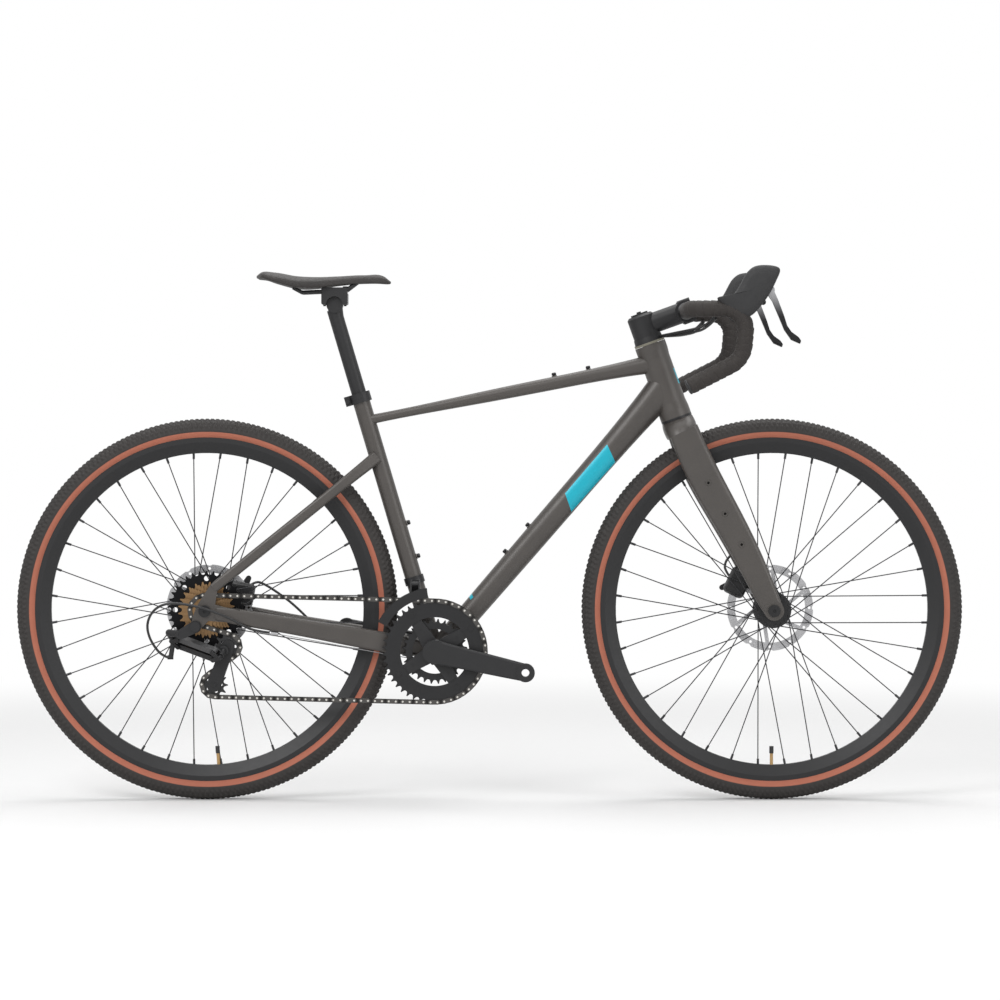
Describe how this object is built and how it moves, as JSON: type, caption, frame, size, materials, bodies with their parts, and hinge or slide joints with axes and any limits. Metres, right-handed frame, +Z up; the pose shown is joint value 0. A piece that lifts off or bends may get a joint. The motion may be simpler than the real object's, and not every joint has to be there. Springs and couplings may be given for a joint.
{
  "type": "gravel bike",
  "caption": "Drop bar gravel bicycle with disc brakes, double chainset, cogs with rear and front derailleur, wide tan wall tyres and no pedals.",
  "frame": {"origin": "on the ground midway between the two axles, in the middle plane", "axes": "+X forward, +Y to the rider's left, +Z up; the drive side is -Y"},
  "size_m": [1.7416, 0.4546, 0.9769],
  "materials": {
    "frame_paint": "satin anthracite paint",
    "black_alloy": "black anodised",
    "tyre_rubber": "tread rubber with tan sidewalls",
    "tube_rubber": "butyl with a brass valve",
    "spoke_steel": "blackened",
    "rotor_steel": "brushed",
    "cog_bronze": "bronze coated steel",
    "chain_steel": "oiled steel",
    "black_steel": "black coated steel",
    "bright_steel": "plain steel",
    "hood_rubber": "moulded rubber",
    "bar_tape": "cork tape",
    "saddle_cover": "synthetic leather",
    "black_plastic": "moulded",
    "cable_housing": "black sleeve",
    "lever_alloy": "polished dark alloy"
  },
  "bodies": {
    "frame": {"head_tube": "frame_paint", "top_tube": "frame_paint", "down_tube": "frame_paint", "seat_tube": "frame_paint", "bottom_bracket_shell": "frame_paint", "chainstays": "frame_paint", "seatstays": "frame_paint", "dropouts": "frame_paint", "seat_clamp": "black_alloy", "frame_bearings": "bright_steel", "rear_axle": "black_steel", "rear_caliper": "black_alloy", "front_derailleur_body": "black_alloy", "derailleur_bracket": "black_alloy", "chain": "chain_steel", "frame_cables": "cable_housing"},
    "steering": {"fork": "frame_paint", "headset_cover": "black_alloy", "stem": "black_alloy", "stem_faceplate": "black_alloy", "handlebar": "black_alloy", "bar_tape": "bar_tape", "lever_hoods": "hood_rubber", "control_cables": "cable_housing", "front_axle": "black_steel", "front_caliper": "black_alloy"},
    "front_wheel": {"front_tyre": "tyre_rubber", "front_rim": "black_alloy", "front_inner_tube": "tube_rubber", "front_spokes": "spoke_steel", "front_hub": "black_alloy", "front_rotor": "rotor_steel"},
    "rear_wheel": {"rear_tyre": "tyre_rubber", "rear_rim": "black_alloy", "rear_inner_tube": "tube_rubber", "rear_spokes": "spoke_steel", "rear_hub": "black_alloy", "rear_rotor": "rotor_steel"},
    "freewheel": {"freewheel_cogs": "cog_bronze"},
    "crank": {"crank_arms": "black_alloy", "chainrings": "black_steel", "crank_spindle": "black_steel"},
    "seatpost": {"seatpost": "black_alloy"},
    "saddle": {"saddle_clamp": "black_alloy", "saddle_rails": "black_steel", "saddle": "saddle_cover"},
    "brake_lever_right": {"brake_lever_right": "lever_alloy"},
    "brake_lever_left": {"brake_lever_left": "lever_alloy"},
    "thumb_shifter_right": {"thumb_shifter_right": "black_plastic"},
    "thumb_shifter_left": {"thumb_shifter_left": "black_plastic"},
    "front_caliper_arm": {"front_caliper_arm": "black_alloy"},
    "rear_caliper_arm": {"rear_caliper_arm": "black_alloy"},
    "derailleur_outer_link": {"derailleur_outer_link": "black_alloy"},
    "derailleur_inner_link": {"derailleur_inner_link": "black_alloy"},
    "derailleur_knuckle": {"derailleur_knuckle": "black_alloy"},
    "derailleur_cage": {"derailleur_cage": "black_steel"},
    "guide_pulley": {"guide_pulley": "black_plastic"},
    "tension_pulley": {"tension_pulley": "black_plastic"},
    "front_derailleur_link": {"front_derailleur_link": "black_alloy"},
    "front_derailleur_cage": {"front_derailleur_cage": "black_steel"}
  },
  "joints": [
    {"name": "steering", "type": "hinge", "parent": "frame", "child": "steering", "pos_m": [0.34322, 0, 0.70476], "axis": [-0.3387, 0, 0.9409], "range_deg": [-75, 75]},
    {"name": "front_wheel_spin", "type": "hinge", "parent": "steering", "child": "front_wheel", "pos_m": [0.52, 0, 0.351], "axis": [0, 1, 0], "continuous": true},
    {"name": "rear_wheel_spin", "type": "hinge", "parent": "frame", "child": "rear_wheel", "pos_m": [-0.52, 0, 0.351], "axis": [0, 1, 0], "continuous": true},
    {"name": "crank_spin", "type": "hinge", "parent": "frame", "child": "crank", "pos_m": [-0.10065, 0, 0.276], "axis": [0, 1, 0], "continuous": true, "deforming": ["chain"]},
    {"name": "freewheel_spin", "type": "hinge", "parent": "frame", "child": "freewheel", "pos_m": [-0.52, 0, 0.351], "axis": [0, 1, 0], "continuous": true},
    {"name": "seatpost_slide", "type": "slide", "parent": "frame", "child": "seatpost", "axis": [-0.284, 0, 0.9588], "range_m": [-0.06, 0.06]},
    {"name": "saddle_tilt", "type": "hinge", "parent": "seatpost", "child": "saddle", "pos_m": [-0.28465, 0, 0.911], "axis": [0, 1, 0], "range_deg": [-8, 8]},
    {"name": "brake_lever_right_pull", "type": "hinge", "parent": "steering", "child": "brake_lever_right", "pos_m": [0.49941, -0.207, 0.93207], "axis": [0, 1, 0], "range_deg": [0, 24], "stiffness_Nm_per_rad": 2},
    {"name": "brake_lever_left_pull", "type": "hinge", "parent": "steering", "child": "brake_lever_left", "pos_m": [0.49941, 0.207, 0.93207], "axis": [0, 1, 0], "range_deg": [0, 24], "stiffness_Nm_per_rad": 2},
    {"name": "thumb_shifter_right_push", "type": "hinge", "parent": "steering", "child": "thumb_shifter_right", "pos_m": [0.47841, -0.1905, 0.93707], "axis": [0, -1, 0], "range_deg": [0, 18], "stiffness_Nm_per_rad": 0.5},
    {"name": "thumb_shifter_left_push", "type": "hinge", "parent": "steering", "child": "thumb_shifter_left", "pos_m": [0.47841, 0.1905, 0.93707], "axis": [0, -1, 0], "range_deg": [0, 18], "stiffness_Nm_per_rad": 0.5},
    {"name": "front_caliper_arm_pull", "type": "hinge", "parent": "steering", "child": "front_caliper_arm", "pos_m": [0.46, 0.0405, 0.398], "axis": [0, 1, 0], "range_deg": [0, 20]},
    {"name": "rear_caliper_arm_pull", "type": "hinge", "parent": "frame", "child": "rear_caliper_arm", "pos_m": [-0.463, 0.053, 0.378], "axis": [0, 1, 0], "range_deg": [0, 20]},
    {"name": "derailleur_shift", "type": "hinge", "parent": "frame", "child": "derailleur_outer_link", "pos_m": [-0.568, -0.055, 0.301], "axis": [0.4675, 0.7078, 0.5296], "range_deg": [0, 34.07], "stiffness_Nm_per_rad": 0.5, "deforming": ["chain"]},
    {"name": "derailleur_inner_link_swing", "type": "hinge", "parent": "frame", "child": "derailleur_inner_link", "pos_m": [-0.56827, -0.0447, 0.28748], "axis": [0.4675, 0.7078, 0.5296], "range_deg": [0, 34.07]},
    {"name": "derailleur_knuckle_swing", "type": "hinge", "parent": "derailleur_outer_link", "child": "derailleur_knuckle", "pos_m": [-0.502, -0.08214, 0.279], "axis": [0.4675, 0.7078, 0.5296], "range_deg": [-34.07, 0]},
    {"name": "derailleur_cage_swing", "type": "hinge", "parent": "derailleur_knuckle", "child": "derailleur_cage", "pos_m": [-0.486, -0.054, 0.279], "axis": [0, 1, 0], "range_deg": [-28, 18], "stiffness_Nm_per_rad": 1, "deforming": ["chain"]},
    {"name": "guide_pulley_spin", "type": "hinge", "parent": "derailleur_cage", "child": "guide_pulley", "pos_m": [-0.47846, -0.054, 0.28556], "axis": [0, 1, 0], "continuous": true},
    {"name": "tension_pulley_spin", "type": "hinge", "parent": "derailleur_cage", "child": "tension_pulley", "pos_m": [-0.50445, -0.054, 0.2155], "axis": [0, 1, 0], "continuous": true},
    {"name": "front_derailleur_shift", "type": "hinge", "parent": "frame", "child": "front_derailleur_link", "pos_m": [-0.13665, -0.03, 0.382], "axis": [-1, 0, 0], "range_deg": [0, 23.89], "stiffness_Nm_per_rad": 0.5, "deforming": ["chain"]},
    {"name": "front_derailleur_cage_swing", "type": "hinge", "parent": "front_derailleur_link", "child": "front_derailleur_cage", "pos_m": [-0.13665, -0.043, 0.399], "axis": [-1, 0, 0], "range_deg": [-23.89, 0]}
  ],
  "couplings": [
    {"joint": "freewheel_spin", "follows": "crank_spin", "ratio": 3.2857},
    {"joint": "guide_pulley_spin", "follows": "crank_spin", "ratio": -4.1818},
    {"joint": "tension_pulley_spin", "follows": "crank_spin", "ratio": 4.1818},
    {"joint": "front_caliper_arm_pull", "follows": "brake_lever_left_pull", "ratio": 0.75},
    {"joint": "rear_caliper_arm_pull", "follows": "brake_lever_right_pull", "ratio": 0.75},
    {"joint": "derailleur_inner_link_swing", "follows": "derailleur_shift", "ratio": 1},
    {"joint": "derailleur_knuckle_swing", "follows": "derailleur_shift", "ratio": -1},
    {"joint": "front_derailleur_cage_swing", "follows": "front_derailleur_shift", "ratio": -1}
  ]
}
